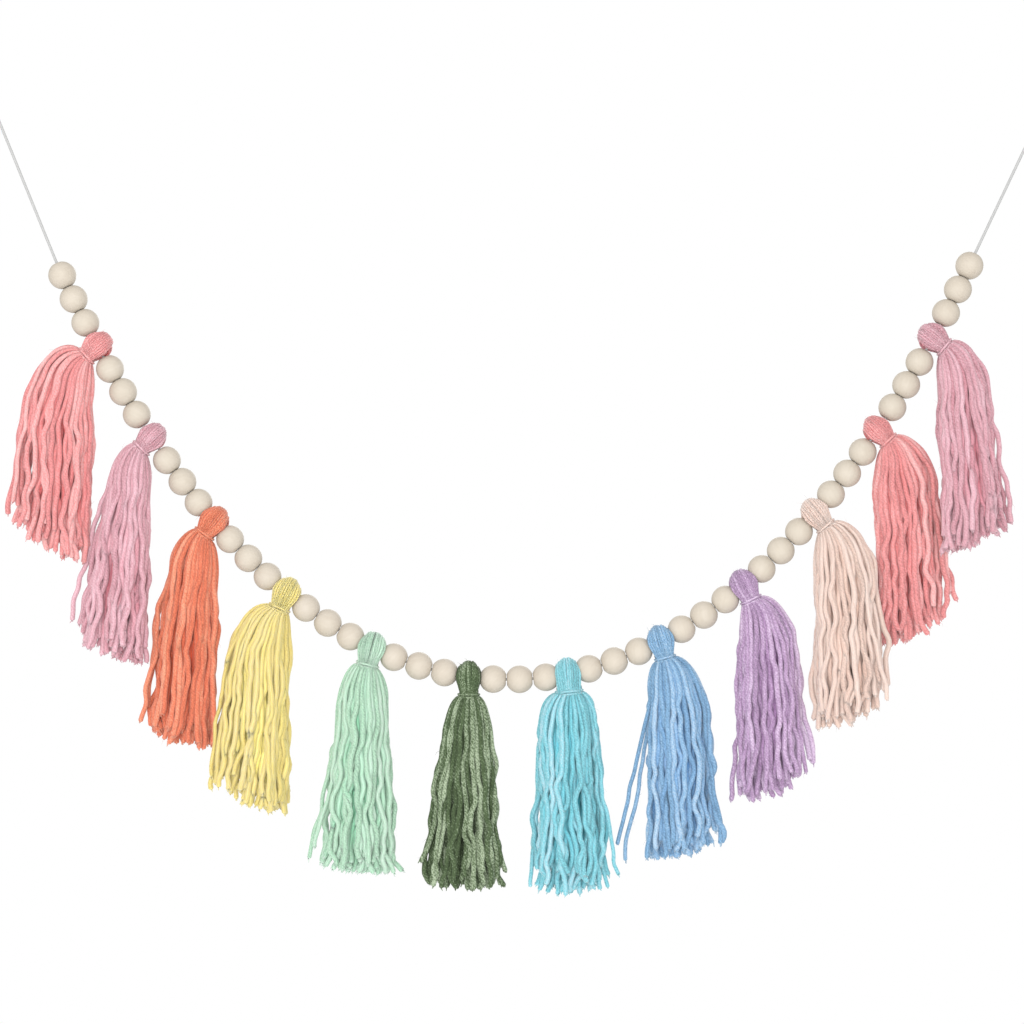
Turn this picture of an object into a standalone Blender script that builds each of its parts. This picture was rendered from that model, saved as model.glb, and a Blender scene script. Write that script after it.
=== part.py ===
"""Tassel garland: twelve yarn tassels and thirty-nine wooden beads on one hanging string.

The string runs from a loop at the upper left to a loop at the upper right and sags between them in a
catenary. The beads and the tassels are threaded on it in turn, three beads and then a tassel. Each
tassel is a bundle of yarn folded over the string, tied below it, with its cut ends hanging free.
Metres, +Z up, +X from the left loop to the right loop, -Y towards the viewer. The origin is the point
where the left loop bears on its hook.
"""

import math
from collections import namedtuple

import bmesh
import bpy
from mathutils import Matrix, Vector

MM = 0.001
CLEARANCE = 0.3 * MM
WELD_DISTANCE = 0.01 * MM

# The string: its thickness, the hooks it hangs from, and the catenary it sags in between them
STRING_DIAMETER = 1.5 * MM
STRING_RESOLUTION = 2
HOOK_SPAN = 620.0 * MM
SAG_PARAMETER = 174.2 * MM
LOWEST_X = 312.9 * MM
LOWEST_Z = -346.2 * MM
SAG_TILT = 0.053
TAIL_POINTS = 2
KNOT_FROM_HOOK = 17.0 * MM
KNOT_DIAMETER = 4.6 * MM
KNOT_LENGTH = 5.6 * MM
KNOT_TWIST = math.radians(17.0)
LOOP_RADIUS = 3.2 * MM
LOOP_FOOT_APART = 1.1 * MM
LOOP_ARC = math.radians(250.0)
LOOP_ARC_POINTS = 9

# The beads: round, bored, with a small flat at each end of the bore
BEAD_DIAMETER = 16.0 * MM
BEAD_LENGTH = 14.7 * MM
BEAD_BORE = 3.0 * MM
BEAD_PITCH = 15.2 * MM
BEAD_SIDES = 10
BEAD_ARC_STEPS = 4
BEADS_PER_GROUP = 3
FIRST_BEAD_X = 46.5 * MM

# The tassels' heads: yarn folded over the string and tied
HEAD_TOP = 9.5 * MM
HEAD_CROWN_RADIUS = 5.2 * MM
HEAD_CROWN_DROP = 1.2 * MM
HEAD_SHOULDER = 2.8 * MM
HEAD_BELLY = 3.6 * MM
HEAD_HALF_DEPTH = 8.6 * MM
HEAD_TAPER = 0.5 * MM
HEAD_SIDES = 10
HEAD_TO_BEAD = 0.9 * MM
NECK_RADIUS = 5.4 * MM
TIE_RADIUS = 6.1 * MM
TIE_HALF_HEIGHT = 0.9 * MM
TIE_EDGE = 0.4 * MM
BELOW_TIE = 2.0 * MM
CHANNEL_DIAMETER = 2.9 * MM
CHANNEL_SIDES = 8

# The skirts' locks: three-sided, rooted in the head's underside in a centre and two rings
LOCK_RINGS = ((0.0, 1), (0.5, 5), (1.0, 10))
ROOT_SPREAD = 4.1 * MM
ROOT_DEPTH = 1.4 * MM
ROOT_PROUD = 0.9 * MM
LOCK_ROOT_RADIUS = 0.8 * MM
LOCK_FULL_RADIUS = 3.7 * MM
LOCK_FILLS_OVER = 38.0 * MM
LOCK_STATIONS = (0.5, 1.2, 2.5)
DEPTH_START = 50.0
DEPTH_BEND = 7.0
DEPTH_END = 3.0
ROUTE_STEP = 0.5 * MM
UNEVEN_ENDS = 5.0 * MM
UNEVEN_STEPS = 4

# One row per tassel, left to right. Millimetres and degrees. The lean and the edge angles are
# measured from straight down, positive to the right. Each edge of the skirt leaves the tie at its
# start angle and falls to its end angle over about its bend length. The skirt swings towards the
# viewer by its forward angle, where neighbours hang in front of or behind each other.
Tassel = namedtuple(
    "Tassel",
    "name yarn width length lean tie"
    " left_start left_bend left_end right_start right_bend right_end forward",
)
TASSELS = (
    Tassel("coral", "coral", 15.0, 117, -48, 9.0, -103, 22, -5, 5, 6, -3, 0),
    Tassel("pink", "pink", 16.4, 122, -45, 9.0, -75, 9, -11, 12, 6, -2, 2),
    Tassel("orange", "orange", 12.7, 122, -38, 9.5, -78, 13, -8, 30, 6, -2, 0),
    Tassel("yellow", "yellow", 13.5, 116, -25, 10.0, -78, 18, -5, 8, 6, 0, 1),
    Tassel("mint", "mint", 12.6, 120, -15, 10.5, -60, 7, -7, 40, 7, 3, 0),
    Tassel("olive", "olive", 13.2, 112, 0, 10.7, -60, 5, -9, 50, 5, 6, 0),
    Tassel("aqua", "aqua", 10.1, 116, 5, 10.5, -80, 9, -3, 65, 8, 5, 0),
    Tassel("blue", "blue", 12.6, 115, 15, 10.5, -30, 6, -2, 75, 15, 4, 0),
    Tassel("lilac", "lilac", 12.2, 114, 25, 10.0, -5, 6, -1, 92, 13, 5, 0),
    Tassel("peach", "peach", 13.1, 114, 38, 10.0, -12, 8, 0, 92, 18, 2, 5),
    Tassel("coral_right", "coral", 15.7, 117, 44, 9.0, -30, 8, 3, 90, 18, 2, -6),
    Tassel("pink_right", "pink", 16.9, 117, 50, 9.0, -5, 8, 1, 98, 13, 6, 5),
)

YARN_COLOURS = {
    "coral": (0.86, 0.40, 0.40),
    "pink": (0.80, 0.42, 0.54),
    "orange": (0.84, 0.27, 0.16),
    "yellow": (0.87, 0.72, 0.34),
    "mint": (0.50, 0.78, 0.58),
    "olive": (0.22, 0.30, 0.17),
    "aqua": (0.30, 0.67, 0.75),
    "blue": (0.29, 0.50, 0.78),
    "lilac": (0.54, 0.38, 0.62),
    "peach": (0.85, 0.62, 0.56),
}
YARN_ROUGHNESS = 0.9
WOOD_COLOUR = (0.80, 0.71, 0.58)
WOOD_ROUGHNESS = 0.55
STRING_COLOUR = (0.86, 0.86, 0.85)
STRING_ROUGHNESS = 0.8


def string_height(x):
    """Height of the string's middle at x, between the first bead and the last."""
    reach = (x - LOWEST_X) / SAG_PARAMETER
    return LOWEST_Z + SAG_PARAMETER * (math.cosh(reach) - 1.0) + SAG_TILT * (x - LOWEST_X)


def string_point(x):
    return Vector((x, 0.0, string_height(x)))


def string_direction(x):
    slope = math.sinh((x - LOWEST_X) / SAG_PARAMETER) + SAG_TILT
    return Vector((1.0, 0.0, slope)).normalized()


def along_string(x, distance):
    """The x reached from x after the given length of string."""
    steps = 100
    for _ in range(steps):
        x += string_direction(x).x * distance / steps
    return x


def threading():
    """Where each bead and each tassel sits on the string, left to right."""
    bead_places = []
    tassel_places = []
    x = FIRST_BEAD_X
    for group in range(len(TASSELS) + 1):
        for _ in range(BEADS_PER_GROUP):
            bead_places.append(x)
            last = x
            x = along_string(x, BEAD_PITCH)
        if group < len(TASSELS):
            tassel = TASSELS[group]
            pitch = BEAD_PITCH + tassel.width * MM
            tassel_places.append(along_string(last, pitch / 2))
            x = along_string(last, pitch)
    return bead_places, tassel_places


def material(name, colour, roughness):
    finish = bpy.data.materials.new(name)
    finish.use_nodes = True
    surface = finish.node_tree.nodes["Principled BSDF"]
    surface.inputs["Base Color"].default_value = (*colour, 1.0)
    surface.inputs["Roughness"].default_value = roughness
    surface.inputs["Metallic"].default_value = 0.0
    return finish


def place(name, data, collection, finish=None):
    piece = bpy.data.objects.new(name, data)
    collection.objects.link(piece)
    if finish:
        data.materials.clear()
        data.materials.append(finish)
    return piece


def as_guide(piece):
    piece.hide_render = True
    piece.display_type = "WIRE"
    return piece


def tube_curve(name, routes):
    """A tube of the string's thickness along each route, whose points are (point, relative radius)."""
    curve = bpy.data.curves.new(name, "CURVE")
    curve.dimensions = "3D"
    curve.twist_mode = "MINIMUM"
    curve.use_fill_caps = True
    curve.bevel_depth = STRING_DIAMETER / 2
    curve.bevel_resolution = STRING_RESOLUTION
    for route in routes:
        spline = curve.splines.new("POLY")
        spline.points.add(len(route) - 1)
        for control, (point, relative) in zip(spline.points, route):
            control.co = (*point, 1.0)
            control.radius = relative
    return curve


def mesh_from_curve(name, curve, collection):
    """The curve's tube as a closed mesh object, its loose caps welded on."""
    source = bpy.data.objects.new(name + "_route", curve)
    collection.objects.link(source)
    evaluated = source.evaluated_get(bpy.context.evaluated_depsgraph_get())
    mesh = bpy.data.meshes.new_from_object(evaluated)
    bpy.data.objects.remove(source)
    welded = bmesh.new()
    welded.from_mesh(mesh)
    bmesh.ops.remove_doubles(welded, verts=welded.verts, dist=WELD_DISTANCE)
    bmesh.ops.recalc_face_normals(welded, faces=welded.faces)
    welded.to_mesh(mesh)
    welded.free()
    mesh.name = name
    return place(name, mesh, collection)


def add_boolean(piece, operation, operand):
    cut = piece.modifiers.new(operation.title() + "_" + operand.name, "BOOLEAN")
    cut.operation = operation
    cut.solver = "EXACT"
    cut.object = operand


def bead_profile():
    """Half outline of a bored bead: down the round outside, then back up the bore's wall."""
    profile = bmesh.new()
    radius = BEAD_DIAMETER / 2
    edge_angle = math.acos(BEAD_LENGTH / BEAD_DIAMETER)
    sweep = math.pi - 2 * edge_angle
    outline = [Vector((BEAD_BORE / 2, 0.0, BEAD_LENGTH / 2))]
    for step in range(BEAD_ARC_STEPS + 1):
        angle = edge_angle + sweep * step / BEAD_ARC_STEPS
        outline.append(Vector((radius * math.sin(angle), 0.0, radius * math.cos(angle))))
    outline.append(Vector((BEAD_BORE / 2, 0.0, -BEAD_LENGTH / 2)))
    ring = [profile.verts.new(point) for point in outline]
    for start, end in zip(ring, ring[1:] + ring[:1]):
        profile.edges.new((start, end))
    mesh = bpy.data.meshes.new("bead")
    profile.to_mesh(mesh)
    profile.free()
    return mesh


def turn(piece, sides):
    screw = piece.modifiers.new("Turned", "SCREW")
    screw.axis = "Z"
    screw.angle = math.tau
    screw.steps = sides
    screw.render_steps = sides
    screw.use_merge_vertices = True
    screw.merge_threshold = WELD_DISTANCE


def make_beads(places, collection):
    wood = material("wood", WOOD_COLOUR, WOOD_ROUGHNESS)
    mesh = bead_profile()
    mesh.materials.append(wood)
    for number, x in enumerate(places, start=1):
        bead = place("bead_%02d" % number, mesh, collection)
        bead.location = string_point(x)
        bead.rotation_mode = "QUATERNION"
        bead.rotation_quaternion = string_direction(x).to_track_quat("Z", "Y")
        turn(bead, BEAD_SIDES)


def head_profile(tie):
    """Radius and height down a head's side, from its top over the barrel and tie to its underside."""
    return (
        (0.0, HEAD_TOP),
        (HEAD_CROWN_RADIUS, HEAD_TOP - HEAD_CROWN_DROP),
        (HEAD_HALF_DEPTH, HEAD_SHOULDER),
        (HEAD_HALF_DEPTH - HEAD_TAPER, -HEAD_BELLY),
        (NECK_RADIUS, -tie + TIE_HALF_HEIGHT + TIE_EDGE),
        (TIE_RADIUS, -tie + TIE_HALF_HEIGHT),
        (TIE_RADIUS, -tie - TIE_HALF_HEIGHT),
        (NECK_RADIUS, -tie - BELOW_TIE),
        (0.0, -tie - BELOW_TIE),
    )


def head_mesh(tassel, beads):
    """A head about the string's middle, +X along the string, pressed in by the beads beside it."""
    outline = bmesh.new()
    tie = tassel.tie * MM
    chain = [outline.verts.new((radius, 0.0, height)) for radius, height in head_profile(tie)]
    for start, end in zip(chain, chain[1:]):
        outline.edges.new((start, end))
    bmesh.ops.spin(
        outline,
        geom=outline.verts[:] + outline.edges[:],
        axis=(0.0, 0.0, 1.0),
        cent=(0.0, 0.0, 0.0),
        angle=math.tau,
        steps=HEAD_SIDES,
        use_merge=True,
    )
    bmesh.ops.remove_doubles(outline, verts=outline.verts, dist=WELD_DISTANCE)
    underside = [face for face in outline.faces
                 if all(vert.co.z < -tie - BELOW_TIE + WELD_DISTANCE for vert in face.verts)]
    bmesh.ops.dissolve_faces(outline, faces=underside, use_verts=True)
    squeeze = (tassel.width / 2 * MM - CLEARANCE) / HEAD_HALF_DEPTH
    reach = BEAD_DIAMETER / 2 + HEAD_TO_BEAD
    for vert in outline.verts:
        towards_neck = min(max(-vert.co.z / (tie - BELOW_TIE), 0.0), 1.0)
        vert.co.x *= squeeze + (1.0 - squeeze) * towards_neck
        for bead in beads:
            if (vert.co - bead).length < reach:
                vert.co = bead + (vert.co - bead).normalized() * reach
    pressed = [face for face in outline.faces if len(face.verts) == 4]
    bmesh.ops.triangulate(outline, faces=pressed)
    bmesh.ops.recalc_face_normals(outline, faces=outline.faces)
    mesh = bpy.data.meshes.new("tassel_head_" + tassel.name)
    outline.to_mesh(mesh)
    outline.free()
    return mesh


def blend(left, right, across):
    return left + (right - left) * (across + 1.0) / 2.0


def lock_route(tassel, root, axis, across, depth, length):
    """Middle line of one hanging lock, with its relative radius at each point."""
    start = blend(tassel.left_start, tassel.right_start, across)
    bend = blend(tassel.left_bend, tassel.right_bend, across) * MM
    end = blend(tassel.left_end, tassel.right_end, across)
    stations = [bend * share for share in LOCK_STATIONS] + [length]
    route = [(root - axis * (ROOT_DEPTH + ROOT_PROUD), 1.0), (Vector(root), 1.0)]
    travelled = 0.0
    point = Vector(root)
    for station in stations:
        while travelled < station:
            swing = math.radians(end + (start - end) * math.exp(-travelled / bend))
            fall = math.exp(-travelled / (DEPTH_BEND * MM))
            lift = math.radians(
                depth * (DEPTH_END + (DEPTH_START - DEPTH_END) * fall) - tassel.forward * (1.0 - fall)
            )
            point += ROUTE_STEP * Vector((
                math.sin(swing) * math.cos(lift),
                math.sin(lift),
                -math.cos(swing) * math.cos(lift),
            ))
            travelled += ROUTE_STEP
        fullness = 1.0 - math.exp(-travelled / LOCK_FILLS_OVER)
        radius = LOCK_ROOT_RADIUS + (LOCK_FULL_RADIUS - LOCK_ROOT_RADIUS) * fullness
        route.append((Vector(point), radius / LOCK_ROOT_RADIUS))
    return route


def lock_section(collection):
    """Three-sided section that every lock is swept with."""
    curve = bpy.data.curves.new("lock_section", "CURVE")
    curve.dimensions = "2D"
    outline = curve.splines.new("POLY")
    outline.points.add(2)
    for corner, knot in enumerate(outline.points):
        angle = math.tau * corner / 3
        knot.co = (LOCK_ROOT_RADIUS * math.cos(angle), LOCK_ROOT_RADIUS * math.sin(angle), 0.0, 1.0)
    outline.use_cyclic_u = True
    section = bpy.data.objects.new("lock_section", curve)
    collection.objects.link(section)
    return as_guide(section)


def skirt_locks(tassel, centre, axis, section, collection):
    """All hanging locks of one tassel, as closed tubes that stand apart."""
    across_tie = Vector((-axis.z, 0.0, axis.x))
    underside = centre + axis * (tassel.tie * MM + BELOW_TIE + ROOT_PROUD)
    routes = []
    for ring_radius, count in LOCK_RINGS:
        for number in range(count):
            angle = math.tau * (number + 0.5) / count
            across = ring_radius * math.cos(angle)
            depth = ring_radius * math.sin(angle)
            root = underside + across_tie * across * ROOT_SPREAD + Vector((0.0, depth * ROOT_SPREAD, 0.0))
            shorter = UNEVEN_ENDS * ((number + count) % UNEVEN_STEPS) / UNEVEN_STEPS
            routes.append(lock_route(tassel, root, axis, across, depth, tassel.length * MM - shorter))
    curve = tube_curve("locks_" + tassel.name, routes)
    curve.bevel_mode = "OBJECT"
    curve.bevel_object = section
    return as_guide(mesh_from_curve("locks_" + tassel.name, curve, collection))


def string_channel(tassel, centre, direction, collection):
    cutter = bmesh.new()
    bmesh.ops.create_cone(
        cutter,
        cap_ends=True,
        segments=CHANNEL_SIDES,
        radius1=CHANNEL_DIAMETER / 2,
        radius2=CHANNEL_DIAMETER / 2,
        depth=2 * tassel.width * MM,
    )
    mesh = bpy.data.meshes.new("channel_" + tassel.name)
    cutter.to_mesh(mesh)
    cutter.free()
    channel = place("channel_" + tassel.name, mesh, collection)
    channel.matrix_world = Matrix.LocRotScale(centre, direction.to_track_quat("Z", "Y"), None)
    return as_guide(channel)


def make_tassels(places, collection, guides):
    yarns = {name: material("yarn_" + name, colour, YARN_ROUGHNESS) for name, colour in YARN_COLOURS.items()}
    section = lock_section(guides)
    for tassel, x in zip(TASSELS, places):
        centre = string_point(x)
        direction = string_direction(x)
        lean = math.radians(tassel.lean)
        axis = Vector((math.sin(lean), 0.0, -math.cos(lean)))
        stance = Matrix((
            (-axis.z, 0.0, -axis.x, centre.x),
            (0.0, 1.0, 0.0, centre.y),
            (axis.x, 0.0, -axis.z, centre.z),
            (0.0, 0.0, 0.0, 1.0),
        ))
        half_pitch = (BEAD_PITCH + tassel.width * MM) / 2
        beads = [stance.inverted() @ string_point(along_string(x, side * half_pitch)) for side in (-1, 1)]
        head = place("tassel_" + tassel.name, head_mesh(tassel, beads), collection, yarns[tassel.yarn])
        head.matrix_world = stance
        add_boolean(head, "DIFFERENCE", string_channel(tassel, centre, direction, guides))
        add_boolean(head, "UNION", skirt_locks(tassel, centre, axis, section, guides))


def loop_route(hook, knot):
    """Middle line of a hanging loop: up one leg from the knot, round the hook, down the other."""
    rise = (hook - knot).normalized()
    side = Vector((rise.z, 0.0, -rise.x))
    middle = hook + rise * (STRING_DIAMETER / 2 - LOOP_RADIUS)
    route = [knot - side * LOOP_FOOT_APART]
    for step in range(LOOP_ARC_POINTS):
        angle = LOOP_ARC * (step / (LOOP_ARC_POINTS - 1) - 0.5)
        route.append(middle + LOOP_RADIUS * (rise * math.cos(angle) + side * math.sin(angle)))
    route.append(knot + side * LOOP_FOOT_APART)
    return [(point, 1.0) for point in route]


def knot_mesh(name, centre, direction, collection):
    ball = bmesh.new()
    bmesh.ops.create_icosphere(ball, subdivisions=2, radius=KNOT_DIAMETER / 2)
    mesh = bpy.data.meshes.new(name)
    ball.to_mesh(mesh)
    ball.free()
    knot = place(name, mesh, collection)
    stretch = Vector((1.0, 1.0, KNOT_LENGTH / KNOT_DIAMETER))
    twist = Matrix.Rotation(KNOT_TWIST, 4, "Z")
    knot.matrix_world = Matrix.LocRotScale(centre, direction.to_track_quat("Z", "Y"), stretch) @ twist
    return as_guide(knot)


def tail_route(start, end):
    """Points of a straight tail of string, without its starting point."""
    return [start.lerp(end, step / TAIL_POINTS) for step in range(1, TAIL_POINTS + 1)]


def make_string(bead_places, collection, guides):
    """The threaded string with a knot and a loop at each end, as one solid."""
    joints = []
    for number, x in enumerate(bead_places):
        if number % BEADS_PER_GROUP == 0:
            joints.append(string_point(along_string(x, -BEAD_PITCH / 2)))
        joints.append(string_point(along_string(x, BEAD_PITCH / 2)))
    left_hook = Vector((0.0, 0.0, 0.0))
    right_hook = Vector((HOOK_SPAN, 0.0, 0.0))
    left_knot = left_hook.lerp(joints[0], KNOT_FROM_HOOK / (joints[0] - left_hook).length)
    right_knot = right_hook.lerp(joints[-1], KNOT_FROM_HOOK / (joints[-1] - right_hook).length)
    route = tail_route(joints[0], left_knot)[::-1] + joints + tail_route(joints[-1], right_knot)
    curve = tube_curve("string", [[(point, 1.0) for point in route]])
    string = mesh_from_curve("string", curve, collection)
    string.data.materials.append(material("string", STRING_COLOUR, STRING_ROUGHNESS))
    for side, hook, knot in (("left", left_hook, left_knot), ("right", right_hook, right_knot)):
        ball = knot_mesh("knot_" + side, knot, hook - knot, guides)
        add_boolean(string, "UNION", ball)
        loop = mesh_from_curve("loop_" + side, tube_curve("loop_" + side, [loop_route(hook, knot)]), guides)
        add_boolean(string, "UNION", as_guide(loop))


def new_collection(name):
    collection = bpy.data.collections.new(name)
    bpy.context.scene.collection.children.link(collection)
    return collection


def main():
    for leftover in list(bpy.data.objects):
        bpy.data.objects.remove(leftover)
    garland = new_collection("tassel_garland")
    guides = new_collection("cutters")
    bead_places, tassel_places = threading()
    make_beads(bead_places, garland)
    make_tassels(tassel_places, garland, guides)
    make_string(bead_places, garland, guides)


main()
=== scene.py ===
import math
from collections import namedtuple

import bpy
import numpy as np
from mathutils import Matrix, Vector


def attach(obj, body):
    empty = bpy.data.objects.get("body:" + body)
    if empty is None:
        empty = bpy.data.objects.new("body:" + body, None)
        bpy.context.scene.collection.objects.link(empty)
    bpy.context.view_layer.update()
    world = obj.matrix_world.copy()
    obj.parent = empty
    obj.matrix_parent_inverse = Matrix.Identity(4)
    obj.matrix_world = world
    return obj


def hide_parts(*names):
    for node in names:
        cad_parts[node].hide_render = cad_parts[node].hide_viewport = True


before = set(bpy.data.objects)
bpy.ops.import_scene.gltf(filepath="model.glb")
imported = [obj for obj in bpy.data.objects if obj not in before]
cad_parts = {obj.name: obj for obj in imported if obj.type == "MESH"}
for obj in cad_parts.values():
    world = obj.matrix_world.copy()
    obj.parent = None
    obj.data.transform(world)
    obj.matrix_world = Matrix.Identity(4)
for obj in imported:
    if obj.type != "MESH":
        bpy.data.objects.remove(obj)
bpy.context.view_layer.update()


# The camera looks level and straight at the hanging garland from the front, as the photograph does,
# through a short telephoto lens, with the hanging loops just outside the picture.
MM = 0.001
PICTURE_MIDDLE = Vector((305.5, 0.0, -250.0)) * MM
PICTURE_WIDTH = 589.8 * MM
LENS = 85.0
SENSOR = 36.0
optics = bpy.data.cameras.new("camera")
optics.lens = LENS
optics.sensor_width = SENSOR
camera = bpy.data.objects.new("camera", optics)
camera.location = PICTURE_MIDDLE - Vector((0.0, PICTURE_WIDTH * LENS / SENSOR, 0.0))
camera.rotation_euler = (math.pi / 2, 0.0, 0.0)
bpy.context.scene.collection.objects.link(camera)
bpy.context.scene.camera = camera


# The string is white cotton twine of three plies, 1.5 mm thick and about a metre long. It is threaded
# through every bead and tassel and sags between its two hooks. At each hook it is tied into a small
# loop with an overhand knot.
STRING_DIAMETER = 1.5 * MM
HOOK_SPAN = 620.0 * MM
SAG_PARAMETER = 174.2 * MM
LOWEST_X = 312.9 * MM
LOWEST_Z = -346.2 * MM
SAG_TILT = 0.053
SAG_POINTS = 500
WALKING_STEPS = 100
FIRST_BEAD_X = 46.5 * MM
BEAD_PITCH = 15.2 * MM
BEADS_PER_GROUP = 3
TASSEL_WIDTHS = (15.0, 16.4, 12.7, 13.5, 12.6, 13.2, 10.1, 12.6, 12.2, 13.1, 15.7, 16.9)
KNOT_FROM_HOOK = 17.0 * MM
LOOP_RADIUS = 3.2 * MM
LOOP_FOOT_APART = 1.1 * MM
LOOP_HALF_ARC = math.radians(125.0)
LOOP_HALF_STEPS = 12
TWINE_STEP = 1.0 * MM
TWINE_RADIUS = 0.55 * STRING_DIAMETER
TWINE_SIDES = 9
TWINE_PLIES = 3
TWINE_LAY = 13.0 * MM
TWINE_RELIEF = 0.02
KNOT_SIZE = 0.95 * MM
KNOT_STRAND = 0.9 * STRING_DIAMETER / 2
KNOT_WIDE = 0.62
KNOT_TALL = 1.25
KNOT_LIFT = 1.35
KNOT_POINTS = 72
KNOT_SIDES = 8
KNOT_REFERENCE = np.array((0.3, 0.1, 0.9))
TOWARDS_BACK = np.array((0.0, 1.0, 0.0))

# A spun strand's colours are its own shade, the light tips of its fibres, and a painted inner shade for
# strands that lie inside a bundle, darker or more saturated where shade falls between the yarns. The other
# columns say how much light soaks in, how strongly the fibres mottle it, and how much they shine at its
# edges.
DyeAndPaintedShade = namedtuple("DyeAndPaintedShade", "shade light inner soft mottle sheen")
Noise = namedtuple("Noise", "scale detail")
Stop = namedtuple("Stop", "level colour")
COTTON_WHITE = DyeAndPaintedShade((0.37, 0.37, 0.367), (0.405, 0.404, 0.40), (0.33, 0.329, 0.325), 0.1, 0.15, 0.0)
SPUN_ROUGHNESS = 0.92
SPUN_GLOSS = 0.15
SHEEN_ROUGHNESS = 0.6
LIGHT_SOAKS_IN = 2.2 * MM
FIBRE_NOISE = Noise(1200.0, 3.0)
PLY_NOISE = Noise(260.0, 1.0)
DYE_NOISE = Noise(90.0, 2.0)
PLIES_WANDER = 1.5
STRAIGHT_PLIES_WANDER = 0.3
# The ply ridges lighten the plies' crests and darken the furrows between them, a painted shade.
RIDGE_SHARE = 0.16
FIBRE_SHARE = 1.3
DYE_SHARE = 0.45
TONE_SHARE = 0.24
MEAN_SPECKLE = 0.955
MEAN_ON_RAMP = 0.545
SHADE_ON_RAMP = 0.45
# The ramp's darkest colour is reached both in the furrows, as painted shade, and in the darkest fibre
# mottling.
FURROW_SHADE = 0.6
# At most this share of an inner strand's colour is the painted inner shade.
BURIED_SHARE = 0.85
FIBRE_RELIEF = 1.1
RIDGE_RELIEF = 0.6
RELIEF_STRENGTH = 0.28
RELIEF_DEPTH = 0.4 * MM

# Each strand has its own upright column of the bake map. Strands of fewer than four sides are short
# and fine, and share the strip along the map's top.
FEWEST_BROAD_SIDES = 4
BROAD_STRIP = (0.005, 0.94)
FINE_STRIP = (0.95, 0.995)
COLUMN_MARGIN = 0.08


def string_point(x):
    reach = (x - LOWEST_X) / SAG_PARAMETER
    sag = SAG_PARAMETER * (math.cosh(reach) - 1.0)
    return Vector((x, 0.0, LOWEST_Z + sag + SAG_TILT * (x - LOWEST_X)))


def string_direction(x):
    slope = math.sinh((x - LOWEST_X) / SAG_PARAMETER) + SAG_TILT
    return Vector((1.0, 0.0, slope)).normalized()


def along_string(x, distance):
    """The x reached from x after the given length of string."""
    for _ in range(WALKING_STEPS):
        x += string_direction(x).x * distance / WALKING_STEPS
    return x


def run_along(path):
    """How far along the path each of its points lies."""
    return np.concatenate(([0.0], np.cumsum(np.linalg.norm(np.diff(path, axis=0), axis=1))))


def evenly_spaced(corners, step):
    """Points about a step apart along the straight lines between the given corners."""
    corners = np.array([tuple(corner) for corner in corners])
    travelled = run_along(corners)
    places = np.linspace(0.0, travelled[-1], max(2, round(travelled[-1] / step) + 1))
    return np.stack([np.interp(places, travelled, corners[:, axis]) for axis in range(3)], axis=1)


def softened(path, times):
    """The path with its corners eased, both ends kept."""
    path = np.array(path)
    for _ in range(times):
        path[1:-1] = 0.25 * path[:-2] + 0.5 * path[1:-1] + 0.25 * path[2:]
    return path


def strand(path, radius, reference, sides, tone=0.0, painted_shade=0.0, plies=0, lay=0.0, relief=0.0):
    """One strand as rings of points along a path. A plied one has as many ridges, that wind round it."""
    path = np.asarray(path, float)
    along = np.gradient(path, axis=0)
    along /= np.linalg.norm(along, axis=1, keepdims=True)
    ahead = reference - (along @ reference)[:, None] * along
    ahead /= np.linalg.norm(ahead, axis=1, keepdims=True)
    beside = np.cross(along, ahead)
    travelled = run_along(path)
    corner = math.tau * np.arange(sides) / sides
    angle = corner + (math.tau * travelled[:, None] / lay if lay else 0.0 * travelled[:, None])
    reach = np.broadcast_to(radius, len(path))[:, None] * (1.0 + relief * np.cos(plies * corner))
    outward = np.cos(angle)[..., None] * ahead[:, None] + np.sin(angle)[..., None] * beside[:, None]
    marks = np.stack([np.full(len(path), tone), np.broadcast_to(painted_shade, len(path))], axis=1)
    return path[:, None] + reach[..., None] * outward, travelled, marks


def is_fine(rings):
    return rings.shape[1] < FEWEST_BROAD_SIDES


def tube_faces(count, sides):
    """Corners of a closed tube's faces, with the turn and the ring number of each face's corners."""
    ring, side = np.meshgrid(np.arange(count - 1), np.arange(sides), indexing="ij")
    following = (side + 1) % sides
    walls = np.stack([
        ring * sides + side,
        ring * sides + following,
        (ring + 1) * sides + following,
        (ring + 1) * sides + side,
    ], axis=-1).reshape(-1, 4)
    turn = np.stack([side, side + 1, side + 1, side], axis=-1).reshape(-1) / sides
    level = np.stack([ring, ring, ring + 1, ring + 1], axis=-1).reshape(-1)
    rim = np.arange(sides)
    turn = np.concatenate([turn, rim[::-1] / sides, rim / sides])
    level = np.concatenate([level, np.zeros(sides, int), np.full(sides, count - 1)])
    return walls, [rim[::-1], (count - 1) * sides + rim], turn, level


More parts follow.
